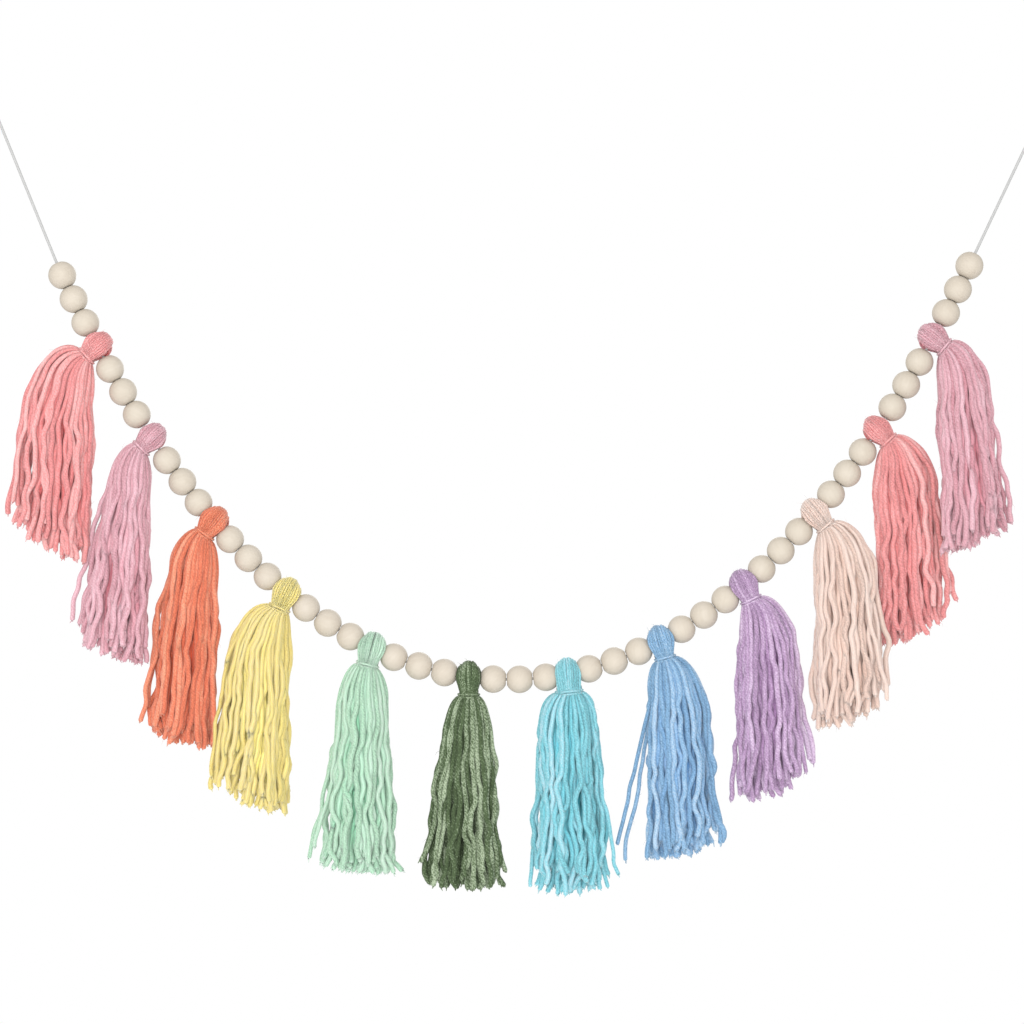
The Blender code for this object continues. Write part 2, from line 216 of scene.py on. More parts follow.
def strand_piece(name, strands, finish):
    """Closed tubes over all strands as one mesh, each with its twist, bake place and marks."""
    points, faces, twist_places, bake_places, marks = [], [], [], [], []
    longest = max(travelled[-1] for _, travelled, _ in strands)
    used = {True: 0, False: 0}
    totals = {fine: sum(is_fine(rings) == fine for rings, _, _ in strands) for fine in used}
    first = 0
    for rings, travelled, strand_marks in strands:
        count, sides = rings.shape[:2]
        walls, ends, turn, level = tube_faces(count, sides)
        faces += (walls + first).tolist()
        faces += [(end + first).tolist() for end in ends]
        twist_places.append(np.stack([turn, travelled[level]], axis=1))
        fine = is_fine(rings)
        low, high = FINE_STRIP if fine else BROAD_STRIP
        within = COLUMN_MARGIN + (1.0 - 2.0 * COLUMN_MARGIN) * turn
        reach = travelled[level] / (travelled[-1] if fine else longest)
        bake_places.append(np.stack([
            (used[fine] + within) / totals[fine],
            low + (high - low) * reach,
        ], axis=1))
        used[fine] += 1
        points.append(rings.reshape(-1, 3))
        marks.append(np.repeat(strand_marks, sides, axis=0))
        first += count * sides
    mesh = bpy.data.meshes.new(name)
    mesh.from_pydata(np.concatenate(points).tolist(), [], faces)
    for layer, places in (("OFBake", bake_places), ("twist", twist_places)):
        mesh.uv_layers.new(name=layer).uv.foreach_set("vector", np.concatenate(places).ravel())
    for column, mark in enumerate(("tone", "painted_shade")):
        values = np.concatenate(marks)[:, column].copy()
        mesh.attributes.new(mark, "FLOAT", "POINT").data.foreach_set("value", values)
    mesh.materials.append(finish)
    mesh.shade_smooth()
    piece = bpy.data.objects.new(name, mesh)
    bpy.context.scene.collection.objects.link(piece)
    return piece


def new_finish(name):
    """A new finish with its tree of nodes and its surface."""
    finish = bpy.data.materials.new(name)
    finish.use_nodes = True
    return finish, finish.node_tree, finish.node_tree.nodes["Principled BSDF"]


def math_node(tree, operation, *values):
    """The outcome of an operation on numbers and on other nodes' outputs."""
    result = tree.nodes.new("ShaderNodeMath")
    result.operation = operation
    for socket, value in zip(result.inputs, values):
        if isinstance(value, (int, float)):
            socket.default_value = value
        else:
            tree.links.new(value, socket)
    return result.outputs[0]


def noise_node(tree, noise, place):
    """Cloudy noise over the given places."""
    texture = tree.nodes.new("ShaderNodeTexNoise")
    texture.inputs["Scale"].default_value = noise.scale
    texture.inputs["Detail"].default_value = noise.detail
    tree.links.new(place, texture.inputs["Vector"])
    return texture.outputs[0]


def ramp_node(tree, level, stops):
    """The colour that belongs to a level, between the stops of a ramp."""
    ramp = tree.nodes.new("ShaderNodeValToRGB")
    elements = ramp.color_ramp.elements
    for element, stop in zip(elements, (stops[0], stops[-1])):
        element.position = stop.level
        element.color = (*stop.colour, 1.0)
    for stop in stops[1:-1]:
        elements.new(stop.level).color = (*stop.colour, 1.0)
    tree.links.new(level, ramp.inputs[0])
    return ramp.outputs["Color"]


def mark_node(tree, mark):
    """The value of one of the strands' marks, as their mesh carries it."""
    attribute = tree.nodes.new("ShaderNodeAttribute")
    attribute.attribute_name = mark
    return attribute.outputs["Fac"]


def add_relief(tree, surface, height, strength, depth):
    """Fine bumps on a surface, at most as high as the given depth."""
    bump = tree.nodes.new("ShaderNodeBump")
    bump.inputs["Strength"].default_value = strength
    bump.inputs["Distance"].default_value = depth
    tree.links.new(height, bump.inputs["Height"])
    tree.links.new(bump.outputs["Normal"], surface.inputs["Normal"])


def spun_finish(name, dye_and_shade, plies, lay):
    """Spun strands: twisted plies with painted shade in the furrows between them, mottled by fine fibres,
    each a little apart, with painted shade on strands inside a bundle.
    """
    finish, tree, surface = new_finish(name)
    surface.inputs["Roughness"].default_value = SPUN_ROUGHNESS
    surface.inputs["Specular IOR Level"].default_value = SPUN_GLOSS
    surface.inputs["Sheen Weight"].default_value = dye_and_shade.sheen
    surface.inputs["Sheen Roughness"].default_value = SHEEN_ROUGHNESS
    surface.inputs["Subsurface Weight"].default_value = dye_and_shade.soft
    surface.inputs["Subsurface Radius"].default_value = (1.0, 1.0, 1.0)
    surface.inputs["Subsurface Scale"].default_value = LIGHT_SOAKS_IN
    place = tree.nodes.new("ShaderNodeTexCoord").outputs["Object"]
    twist = tree.nodes.new("ShaderNodeUVMap")
    twist.uv_map = "twist"
    twist_parts = tree.nodes.new("ShaderNodeSeparateXYZ")
    tree.links.new(twist.outputs["UV"], twist_parts.inputs[0])
    turns = math_node(tree, "MULTIPLY", twist_parts.outputs["X"], float(plies))
    if lay:
        turns_along = math_node(tree, "MULTIPLY", twist_parts.outputs["Y"], plies / lay)
        turns = math_node(tree, "ADD", turns, turns_along)
    wander = PLIES_WANDER if lay else STRAIGHT_PLIES_WANDER
    turns = math_node(tree, "MULTIPLY_ADD", noise_node(tree, PLY_NOISE, place), wander, turns)
    wave = math_node(tree, "COSINE", math_node(tree, "MULTIPLY", turns, math.tau))
    ridge = math_node(tree, "MULTIPLY_ADD", wave, 0.5, 0.5)
    fibres = noise_node(tree, FIBRE_NOISE, place)
    # The ridge paints shade into the furrows between the plies.
    speckle = math_node(tree, "MULTIPLY", ridge, RIDGE_SHARE)
    speckle = math_node(tree, "MULTIPLY_ADD", fibres, FIBRE_SHARE, speckle)
    speckle = math_node(tree, "MULTIPLY_ADD", noise_node(tree, DYE_NOISE, place), DYE_SHARE, speckle)
    speckle = math_node(tree, "MULTIPLY_ADD", mark_node(tree, "tone"), TONE_SHARE, speckle)
    speckle = math_node(tree, "ADD", speckle, -MEAN_SPECKLE)
    speckle = math_node(tree, "MULTIPLY_ADD", speckle, dye_and_shade.mottle, MEAN_ON_RAMP)
    mottled = ramp_node(tree, speckle, (
        Stop(0.0, [value * FURROW_SHADE for value in dye_and_shade.shade]),
        Stop(SHADE_ON_RAMP, dye_and_shade.shade),
        Stop(1.0, dye_and_shade.light),
    ))
    # Strands inside a bundle are mixed towards the painted inner shade, which stands in for the shade
    # between the yarns.
    shaded = tree.nodes.new("ShaderNodeMix")
    shaded.data_type = "RGBA"
    painted_shade_amount = math_node(tree, "MULTIPLY", mark_node(tree, "painted_shade"), BURIED_SHARE)
    tree.links.new(painted_shade_amount, shaded.inputs["Factor"])
    tree.links.new(mottled, shaded.inputs["A"])
    shaded.inputs["B"].default_value = (*dye_and_shade.inner, 1.0)
    tree.links.new(shaded.outputs["Result"], surface.inputs["Base Color"])
    ridge_relief = math_node(tree, "MULTIPLY", ridge, RIDGE_RELIEF)
    relief = math_node(tree, "MULTIPLY_ADD", fibres, FIBRE_RELIEF, ridge_relief)
    add_relief(tree, surface, relief, RELIEF_STRENGTH * dye_and_shade.mottle, RELIEF_DEPTH)
    return finish


def loop_corners(hook, knot):
    """A hanging loop's line: up one leg from the knot, round the hook and down the other leg."""
    rise = (hook - knot).normalized()
    side = Vector((rise.z, 0.0, -rise.x))
    middle = hook + rise * (STRING_DIAMETER / 2 - LOOP_RADIUS)
    corners = [knot, knot - side * LOOP_FOOT_APART]
    for step in range(2 * LOOP_HALF_STEPS + 1):
        angle = LOOP_HALF_ARC * (step / LOOP_HALF_STEPS - 1.0)
        corners.append(middle + LOOP_RADIUS * (rise * math.cos(angle) + side * math.sin(angle)))
    return corners + [knot + side * LOOP_FOOT_APART, knot]


def overhand_knot(name, middle, rise, finish):
    """A small pulled-tight overhand knot round the loop's foot."""
    turn = np.linspace(0.0, math.tau, KNOT_POINTS + 1)[:-1]
    across = np.sin(turn) + 2.0 * np.sin(2.0 * turn)
    deep = np.cos(turn) - 2.0 * np.cos(2.0 * turn)
    high = -KNOT_LIFT * np.sin(3.0 * turn)
    side = Vector((rise.z, 0.0, -rise.x))
    path = np.array(middle) + KNOT_SIZE * (
        KNOT_WIDE * across[:, None] * np.array(side)
        + KNOT_WIDE * deep[:, None] * TOWARDS_BACK
        + KNOT_TALL * high[:, None] * np.array(rise)
    )
    path = np.concatenate([path, path[:2]])
    return strand_piece(name, [strand(path, KNOT_STRAND, KNOT_REFERENCE, KNOT_SIDES)], finish)


bead_places = []
tassel_places = []
x = FIRST_BEAD_X
for group in range(len(TASSEL_WIDTHS) + 1):
    for _ in range(BEADS_PER_GROUP):
        bead_places.append(x)
        last = x
        x = along_string(x, BEAD_PITCH)
    if group < len(TASSEL_WIDTHS):
        pitch = BEAD_PITCH + TASSEL_WIDTHS[group] * MM
        tassel_places.append(along_string(last, pitch / 2))
        x = along_string(last, pitch)

left_hook = Vector((0.0, 0.0, 0.0))
right_hook = Vector((HOOK_SPAN, 0.0, 0.0))
threaded_from = along_string(bead_places[0], -BEAD_PITCH / 2)
threaded_to = along_string(bead_places[-1], BEAD_PITCH / 2)
sagging = [string_point(x) for x in np.linspace(threaded_from, threaded_to, SAG_POINTS)]
left_knot = left_hook.lerp(sagging[0], KNOT_FROM_HOOK / (sagging[0] - left_hook).length)
right_knot = right_hook.lerp(sagging[-1], KNOT_FROM_HOOK / (sagging[-1] - right_hook).length)
string_line = softened(evenly_spaced(
    loop_corners(left_hook, left_knot) + sagging + loop_corners(right_hook, right_knot), TWINE_STEP
), 2)
cotton = spun_finish("white_cotton", COTTON_WHITE, TWINE_PLIES, 0.0)
twine = strand(
    string_line, TWINE_RADIUS, TOWARDS_BACK, TWINE_SIDES,
    plies=TWINE_PLIES, lay=TWINE_LAY, relief=TWINE_RELIEF,
)
string = strand_piece("cotton_string", [twine], cotton)
knots = [
    overhand_knot("left_knot", left_knot, (left_hook - left_knot).normalized(), cotton),
    overhand_knot("right_knot", right_knot, (right_hook - right_knot).normalized(), cotton),
]
for piece in [string] + knots:
    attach(piece, "root")
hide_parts("string")


# The beads are turned from pale, fine-grained wood, 16 mm across, bored through and left bare, with a
# small flat and a softened edge round each end of the bore. Three of them lie between two tassels, and
# three more beyond the first tassel and the last.
BEAD_RADIUS = 8.0 * MM
BEAD_LENGTH = 14.7 * MM
BORE_RADIUS = 1.5 * MM
BORE_EDGE = 0.35 * MM
BORE_EDGE_MIDDLE = 0.3
BEAD_SIDES = 40
BEAD_STEPS = 16
BEAD_SEED = 7
BAKE_MARGIN_ROUND = 0.02
BAKE_MARGIN_ALONG = 0.01
GRAIN_TILT = (0.2, 1.4)
GRAIN_SHIFT = 0.3
GRAIN_SQUEEZE = 0.09
STREAK_NOISE = Noise(750.0, 4.0)
STREAK_SHARE = 0.55
CLOUD_NOISE = Noise(130.0, 2.0)
CLOUD_SHARE = 0.45
WOOD_SHADES = (
    Stop(0.30, (0.413, 0.363, 0.300)),
    Stop(0.5, (0.437, 0.390, 0.325)),
    Stop(0.72, (0.457, 0.410, 0.348)),
)
WOOD_GLOSS = 0.3
WOOD_ROUGHNESS = (0.5, 0.72)
PORE_STRENGTH = 0.06
PORE_DEPTH = 0.2 * MM


def bead_profile():
    """Radius and height from one end of the bore, round the outside, to the other end."""
    edge = math.acos(BEAD_LENGTH / (2 * BEAD_RADIUS))
    angles = np.linspace(edge, math.pi - edge, BEAD_STEPS + 1)
    outside = [(BEAD_RADIUS * math.sin(angle), BEAD_RADIUS * math.cos(angle)) for angle in angles]
    softened_by = BORE_EDGE_MIDDLE * BORE_EDGE
    mouth = [
        (BORE_RADIUS, BEAD_LENGTH / 2 - BORE_EDGE),
        (BORE_RADIUS + softened_by, BEAD_LENGTH / 2 - softened_by),
        (BORE_RADIUS + BORE_EDGE, BEAD_LENGTH / 2),
    ]
    other_mouth = [(radius, -height) for radius, height in mouth[::-1]]
    return np.array(mouth + outside + other_mouth)


def wood_finish(name):
    """Bare pale wood: long faint grain streaks, pores and slow warm and cool changes."""
    finish, tree, surface = new_finish(name)
    surface.inputs["Specular IOR Level"].default_value = WOOD_GLOSS
    grain = tree.nodes.new("ShaderNodeAttribute")
    grain.attribute_name = "grain"
    stretched = tree.nodes.new("ShaderNodeVectorMath")
    stretched.operation = "MULTIPLY"
    stretched.inputs[1].default_value = (1.0, 1.0, GRAIN_SQUEEZE)
    tree.links.new(grain.outputs["Vector"], stretched.inputs[0])
    streaks = noise_node(tree, STREAK_NOISE, stretched.outputs["Vector"])
    clouds = noise_node(tree, CLOUD_NOISE, grain.outputs["Vector"])
    faint_clouds = math_node(tree, "MULTIPLY", clouds, CLOUD_SHARE)
    figure = math_node(tree, "MULTIPLY_ADD", streaks, STREAK_SHARE, faint_clouds)
    tree.links.new(ramp_node(tree, figure, WOOD_SHADES), surface.inputs["Base Color"])
    worn = tree.nodes.new("ShaderNodeMapRange")
    worn.inputs["To Min"].default_value, worn.inputs["To Max"].default_value = WOOD_ROUGHNESS
    tree.links.new(streaks, worn.inputs["Value"])
    tree.links.new(worn.outputs[0], surface.inputs["Roughness"])
    add_relief(tree, surface, streaks, PORE_STRENGTH, PORE_DEPTH)
    return finish


bare_wood = wood_finish("bare_wood")
profile = bead_profile()
rows = len(profile)
bead_random = np.random.default_rng(BEAD_SEED)
spin_angle = math.tau * np.arange(BEAD_SIDES) / BEAD_SIDES
lathed = np.stack([
    profile[:, None, 0] * np.cos(spin_angle),
    profile[:, None, 0] * np.sin(spin_angle),
    np.broadcast_to(profile[:, None, 1], (rows, BEAD_SIDES)),
], axis=-1).reshape(-1, 3)
profile_run = run_along(profile)
profile_run = np.append(profile_run, profile_run[-1] + BEAD_LENGTH - 2 * BORE_EDGE)
bake_width = 1.0 - 2.0 * BAKE_MARGIN_ROUND
bake_height = 1.0 - 2.0 * BAKE_MARGIN_ALONG
for group in range(len(bead_places) // BEADS_PER_GROUP):
    points, grains, faces, bake_places = [], [], [], []
    for number in range(BEADS_PER_GROUP):
        x = bead_places[group * BEADS_PER_GROUP + number]
        stance = string_direction(x).to_track_quat("Z", "Y").to_matrix()
        spun = Matrix.Rotation(bead_random.uniform(0.0, math.tau), 3, "Z")
        local = lathed @ np.array(spun).T
        points.append(local @ np.array(stance).T + np.array(string_point(x)))
        tilt = Matrix.Rotation(bead_random.uniform(*GRAIN_TILT), 3, "X")
        tilt = np.array(Matrix.Rotation(bead_random.uniform(0.0, math.tau), 3, "Z") @ tilt)
        grains.append(local @ tilt.T + bead_random.uniform(-GRAIN_SHIFT, GRAIN_SHIFT, 3))
        for row in range(rows):
            for side in range(BEAD_SIDES):
                corners = ((row + 1, side), (row + 1, side + 1), (row, side + 1), (row, side))
                faces.append([
                    number * len(lathed) + (r % rows) * BEAD_SIDES + s % BEAD_SIDES for r, s in corners
                ])
                bake_places += [(
                    (number + BAKE_MARGIN_ROUND + bake_width * s / BEAD_SIDES) / BEADS_PER_GROUP,
                    BAKE_MARGIN_ALONG + bake_height * profile_run[r] / profile_run[-1],
                ) for r, s in corners]
    mesh = bpy.data.meshes.new("wooden_beads")
    mesh.from_pydata(np.concatenate(points).tolist(), [], faces)
    mesh.uv_layers.new(name="OFBake").uv.foreach_set("vector", np.array(bake_places).ravel())
    grain = mesh.attributes.new("grain", "FLOAT_VECTOR", "POINT")
    grain.data.foreach_set("vector", np.concatenate(grains).ravel())
    mesh.materials.append(bare_wood)
    mesh.shade_smooth()
    beads = bpy.data.objects.new("wooden_beads_%02d" % (group + 1), mesh)
    bpy.context.scene.collection.objects.link(beads)
    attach(beads, "root")
    first = group * BEADS_PER_GROUP + 1
    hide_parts(*["bead_%02d" % (first + number) for number in range(BEADS_PER_GROUP)])


# The tassels are bundles of soft four-ply yarn laid over the string, so that the middle of the bundle
# makes the head, and bound tight below the string. The yarns' cut ends hang from the binding as a loose
# skirt, each yarn a little wavy from the ball, and on a sloping string they bend over to hang straight.
TASSEL_SEED = 100
YARN_PLIES = 4
YARN_LAY = 9.0 * MM
YARN_SIDES = 6

# A yarn's start is its way out of the binding, its end its way when it hangs, and its bend the length
# it takes to turn, at the skirt's left edge and at its right. Angles here are in degrees and lengths in
# millimetres, except where MM makes them metres.
Tassel = namedtuple(
    "Tassel",
    "name yarn length lean tie left_start left_bend left_end right_start right_bend right_end"
    " forward head neck wave",
)
TASSELS = (
    Tassel("coral", "coral", 117, -48, 9.0, -132, 18, -5, 5, 6, -2, 0, 8.2, 5.6, 1.0),
    Tassel("pink", "pink", 122, -45, 9.0, -75, 10, -10, 12, 6, -1, 2, 8.6, 5.6, 1.0),
    Tassel("orange", "orange", 122, -38, 9.5, -78, 13, -7, 30, 6, -2, 0, 8.8, 6.0, 0.9),
    Tassel("yellow", "yellow", 116, -25, 10.0, -98, 17, -5, 8, 6, -2, 1, 9.0, 6.0, 1.0),
    Tassel("mint", "mint", 120, -15, 10.5, -60, 8, -6, 40, 7, 2, 0, 9.0, 6.2, 1.3),
    Tassel("olive", "olive", 112, 0, 10.7, -62, 6, -7.5, 52, 6, 4.5, 0, 8.2, 5.8, 1.0),
    Tassel("aqua", "aqua", 116, 5, 10.5, -80, 8, -1, 65, 8, 3, 0, 8.6, 7.6, 1.35),
    Tassel("blue", "blue", 115, 15, 10.5, -30, 6, 0, 77, 16, 3, 0, 8.6, 5.8, 1.1),
    Tassel("lilac", "lilac", 114, 25, 10.0, -5, 6, 0.5, 92, 14, 4, 0, 9.0, 6.0, 1.0),
    Tassel("peach", "peach", 114, 38, 10.0, -12, 8, 0, 92, 18, 2, 5, 8.6, 5.8, 1.1),
    Tassel("coral_right", "coral", 117, 44, 9.0, -30, 8, 2, 90, 18, 4, -6, 8.3, 5.6, 1.1),
    Tassel("pink_right", "pink", 117, 50, 9.0, -5, 8, 1, 98, 13, 6, 5, 8.8, 5.6, 1.0),
)
YARN_DYES_AND_PAINTED_SHADES = {
    # Each yarn's third colour is its painted inner shade: darker, or on light yarns more saturated, where
    # shade falls inside the bundle.
    "coral": DyeAndPaintedShade((0.57, 0.214, 0.212), (0.63, 0.38, 0.37), (0.62, 0.12, 0.12), 0.5, 1.0, 0.18),
    "pink": DyeAndPaintedShade((0.455, 0.24, 0.275), (0.58, 0.385, 0.43), (0.56, 0.16, 0.20), 0.5, 1.0, 0.18),
    "orange": DyeAndPaintedShade((0.53, 0.138, 0.073), (0.61, 0.28, 0.18), (0.50, 0.065, 0.025), 0.4, 1.0, 0.18),
    "yellow": DyeAndPaintedShade((0.55, 0.455, 0.16), (0.555, 0.47, 0.26), (0.86, 0.75, 0.24), 0.9, 0.62, 0.18),
    "mint": DyeAndPaintedShade((0.32, 0.48, 0.36), (0.42, 0.515, 0.445), (0.25, 0.66, 0.41), 0.8, 1.0, 0.18),
    "olive": DyeAndPaintedShade((0.066, 0.098, 0.046), (0.315, 0.38, 0.262), (0.008, 0.013, 0.005), 0.0, 1.3, 0.04),
    "aqua": DyeAndPaintedShade((0.165, 0.425, 0.48), (0.34, 0.50, 0.555), (0.08, 0.48, 0.58), 0.8, 1.1, 0.18),
    "blue": DyeAndPaintedShade((0.165, 0.30, 0.455), (0.335, 0.445, 0.55), (0.055, 0.20, 0.48), 0.4, 1.2, 0.14),
    "lilac": DyeAndPaintedShade((0.335, 0.222, 0.355), (0.54, 0.43, 0.56), (0.22, 0.075, 0.25), 0.3, 1.25, 0.16),
    "peach": DyeAndPaintedShade((0.53, 0.40, 0.345), (0.57, 0.48, 0.435), (0.66, 0.43, 0.34), 0.7, 0.8, 0.18),
}

# Strays are single yarns at a skirt's edge that part from it on the way down. The columns are their
# place in the binding, across and back, the length at which they part, how far aside they reach, and
# how much shorter they are than the longest yarns.
Stray = namedtuple("Stray", "across depth leaves_at reach shorter")
STRAYS = {
    "coral": (Stray(-0.9, -0.5, 60, -3, 10),),
    "yellow": (Stray(-0.95, -0.3, 45, -2, 4), Stray(-0.7, -0.7, 50, -7, 22)),
    "mint": (Stray(-1.0, 0.0, 55, -6, 4), Stray(-0.9, -0.4, 70, -7, 10)),
    "olive": (Stray(-0.6, -0.8, 80, 6, 6), Stray(-0.8, -0.6, 85, 7, 2), Stray(0.9, -0.3, 30, 4, 12)),
    "aqua": (Stray(0.9, -0.4, 70, 7, 6), Stray(1.0, 0.0, 60, 6, 0), Stray(-0.9, 0.3, 80, -3, 0)),
    "blue": (Stray(-1.0, -0.2, 24, -19, 8), Stray(-1.0, 0.2, 30, -19, -2), Stray(0.9, -0.4, 50, 4, 0)),
    "lilac": (Stray(-0.95, -0.3, 60, -5, 26), Stray(0.9, -0.5, 60, 4, 4)),
    "peach": (Stray(0.9, -0.4, 50, 5, 8), Stray(0.6, -0.8, 70, 5, 4)),
    "coral_right": (Stray(0.95, -0.3, 40, 7, 16), Stray(0.9, 0.3, 45, 6, 8)),
}

# The yarns' way down: how they leave the binding, fall, thicken and wave.
YARNS = 90
YARN_STEP = 2.5
ROUTE_STEPS = 5
NECK_YARN = 0.6
FULL_YARN = 1.62
YARN_FILLS_OVER = 7.5
YARN_VARIES = (0.93, 1.06)
ABOVE_TIE = 3.0
DEPTH_START = 46.0
DEPTH_BEND = 7.0
DEPTH_END = 1.5
GOLDEN_TURN = 2.39996
EDGE_SPREAD = 1.05
END_VARIES = 1.5
SHORTER_BY = 14.0
FEW_ARE_SHORT = 1.5
WAVE_LENGTHS = (21.0, 36.0, 66.0)
WAVE_HEIGHTS = (0.45, 0.8, 1.0)
WAVE_STRETCH = (0.85, 1.2)
WAVES_BACK_AND_FORTH = 0.8
WAVES_BEGIN_OVER = 19.0
WAVES_AT_TOP = 0.8
WAVES_GAIN = 0.5
OWN_WAVE = 0.5
SHARED_WAVE = 0.65
SHARED_ACROSS = 2.2
SHARED_DEPTH = 1.4
CRIMP_LENGTH = 17.0
CRIMP_STRETCH = (0.8, 1.5)
CRIMP_HEIGHT = 0.5
CRIMP_PATCH = 48.0
CURL_OVER = 16.0
CURL_REACH = 2.4
CURL_MOST = 1.2
STRAY_THICKNESS = 0.8
STRAY_MOST = 1.1
STRAIGHTER = 0.5
PARTING_ROUNDS = 14
SAME_PLACE = 1e-6
PARTED_TO = 1.5
PARTING_SHARE = 0.7
# Yarns deep inside the skirt carry painted shade, less of it towards their ends, where they show.
BURIED_WITHIN = 0.9
BURIED_OVER = 0.5
SHOWS_NEAR_END = 30.0
LEAST_BURIED = 0.15

# The cut ends: each yarn ends blunt, with a few plies that have come apart.
SHOULDER_PAST = 0.6
SHOULDER_WIDTH = 0.9
TIP_PAST = 0.35
TIP_WIDTH = 0.6
FRAYED_PLIES = 3
FRAYED_RADII = np.array((0.45, 0.4, 0.2))
FRAYED_FROM = -1.0
FRAYED_BEND = 0.2
FRAYED_TO = (0.5, 1.4)
FRAYED_ASIDE = 0.28
FRAYED_APART = 0.35
FRAYED_TONE = 0.4
FRAYED_SIDES = 3

# The head: layers of yarn laid over the string, the outermost first, and the binding below.
HEAD_YARN = 0.98
HEAD_YARN_PITCH = 1.5
HEAD_YARN_POINTS = 27
HEAD_EDGE_IN = 0.06
HEAD_EDGE_DEPTH = 0.5
# Each inner layer of the head carries more painted shade.
HEAD_BURIED = 0.5
HEAD_LAYERS_FEWER = (0, 1, 3, 5, 7)
FINE_HEAD_LAYERS = 2
HEAD_TOP = 9.5
HEAD_MIDDLE = -0.5
HEAD_INSET = 0.95
HEAD_LAYER_INSET = 1.45
HEAD_INSET_VARIES = (-0.15, 0.2)
HEAD_ROUNDNESS = 2.6
HEAD_EDGE_LOWER = 0.55
HEAD_EDGE_POWER = 2.4
HEAD_TOP_NARROWER = 0.20
NECK_NARROWS = 1.3
HEAD_SWAY = 0.35
HEAD_SWAY_TURN = 5.0
HEAD_TONE = (-1.3, 0.1)
CLEAR_OF_BEAD = 0.2 * MM
TIE_YARN = 0.6
TIE_TURNS = 2.0
TIE_POINTS = 52
TIE_RISES = 0.5
TIE_BELOW_NECK = 0.1
TIE_SIDES = 8
TIE_CROSSING = 0.9
TIE_CROSSES_AT = (0.2, 1.2)
TIE_TONE = 0.4
TUCKED_FROM = 0.88
TUCKED_DEPTH = 1.6

# The fuzz: single fibres that stand off the yarns.
FIBRES = 260
FUZZY_HEAD_YARNS = 8
FIBRE_LENGTH = (1.8, 4.5)
FIBRE_RADII = np.array((0.08, 0.06, 0.04))
FIBRE_SIDES = 3
FIBRE_ROOT = 0.2 * MM
FIBRE_RISES = (0.28, 0.36)
FIBRE_RUNS = (0.3, 0.8)
FIBRE_SWERVES = 0.7
FIBRE_SCATTER = 0.5
NOT_ALONG = 0.01


def spread(left, right, across):
    return left + (right - left) * (across + 1.0) / 2.0


def yarn_width(travelled):
    return NECK_YARN + (FULL_YARN - NECK_YARN) * (1.0 - np.exp(-travelled / YARN_FILLS_OVER))


def yarn_places(strays):
    """Where each yarn, and then each stray, leaves the binding: across and back, from -1 to 1."""
    number = np.arange(YARNS)
    ring = np.sqrt((number + 0.5) / YARNS)
    around = number * GOLDEN_TURN
    across = np.append(ring * np.cos(around), [stray.across for stray in strays])
    depth = np.append(ring * np.sin(around), [stray.depth for stray in strays])
    return across, depth


def falling_lines(tassel, knot, across_tie, across, depth, draws):
    """Middle lines of the yarns, level by level, as they bend over the binding and fall."""
    start = spread(tassel.left_start, tassel.right_start, across)
    bend = spread(tassel.left_bend, tassel.right_bend, across)
    end = spread(tassel.left_end, tassel.right_end, EDGE_SPREAD * across)
    end = end + draws.normal(0.0, END_VARIES, len(across))
    inside = tassel.neck - NECK_YARN
    point = knot + inside * (across[:, None] * across_tie + depth[:, None] * TOWARDS_BACK)
    levels = [point]
    step = YARN_STEP / ROUTE_STEPS
    level_count = int(tassel.length / YARN_STEP) + 2
    for moment in range((level_count - 1) * ROUTE_STEPS):
        travelled = moment * step
        swing = np.radians(end + (start - end) * np.exp(-travelled / bend))
        fall = math.exp(-travelled / DEPTH_BEND)
        lift = depth * (DEPTH_END + (DEPTH_START - DEPTH_END) * fall) - tassel.forward * (1.0 - fall)
        lift = np.radians(lift)
        point = point + step * np.stack([
            np.sin(swing) * np.cos(lift), np.sin(lift), -np.cos(swing) * np.cos(lift),
        ], axis=1)
        if moment % ROUTE_STEPS == ROUTE_STEPS - 1:
            levels.append(point)
    return np.stack(levels, axis=1)


def wavy_lines(tassel, fallen, across, depth, draws):
    """The fallen lines made wavy, with small crimps in patches and curled ends."""
    lines = fallen.copy()
    count, level_count = lines.shape[:2]
    travelled = np.arange(level_count) * YARN_STEP
    begins = 1.0 - np.exp(-((travelled / WAVES_BEGIN_OVER) ** 2))
    grows = begins * (WAVES_AT_TOP + WAVES_GAIN * travelled / tassel.length)
    for length, height in zip(WAVE_LENGTHS, WAVE_HEIGHTS):
        for direction, amount in ((0, 1.0), (1, WAVES_BACK_AND_FORTH)):
            own = draws.uniform(0.0, math.tau, count)
            shared = draws.uniform(0.0, math.tau) + SHARED_ACROSS * across + SHARED_DEPTH * depth
            stretch = draws.uniform(*WAVE_STRETCH, count)
            phase = math.tau * travelled / (length * stretch[:, None])
            wave = OWN_WAVE * np.sin(phase + own[:, None]) + SHARED_WAVE * np.sin(phase + shared[:, None])
            lines[:, :, direction] += tassel.wave * amount * height * grows * wave
    crimp = draws.uniform(*CRIMP_STRETCH, (count, 1)) * math.tau * travelled / CRIMP_LENGTH
    crimp = crimp + draws.uniform(0.0, math.tau, (count, 1))
    patches = np.sin(math.pi * (travelled / CRIMP_PATCH + draws.uniform(0.0, 2.0, (count, 1)))) ** 2
    lines[:, :, 0] += tassel.wave * (CRIMP_HEIGHT * patches) * grows * np.sin(crimp)
    curl = np.clip((travelled - tassel.length + CURL_OVER) / CURL_OVER, 0.0, CURL_MOST) ** 2
    lines[:, :, 0] += tassel.wave * CURL_REACH * draws.normal(0.0, 1.0, (count, 1)) * curl
    return lines


def with_strays(tassel, strays, fallen, lines):
    """The lines with the strays, which come last, made straighter and led away from the skirt."""
    travelled = np.arange(lines.shape[1]) * YARN_STEP
    lines[YARNS:, :, 0] = STRAIGHTER * fallen[YARNS:, :, 0] + (1.0 - STRAIGHTER) * lines[YARNS:, :, 0]
    for number, stray in enumerate(strays, start=YARNS):
        away = (travelled - stray.leaves_at) / (tassel.length - stray.leaves_at)
        lines[number, :, 0] += stray.reach * np.clip(away, 0.0, STRAY_MOST)
    return lines


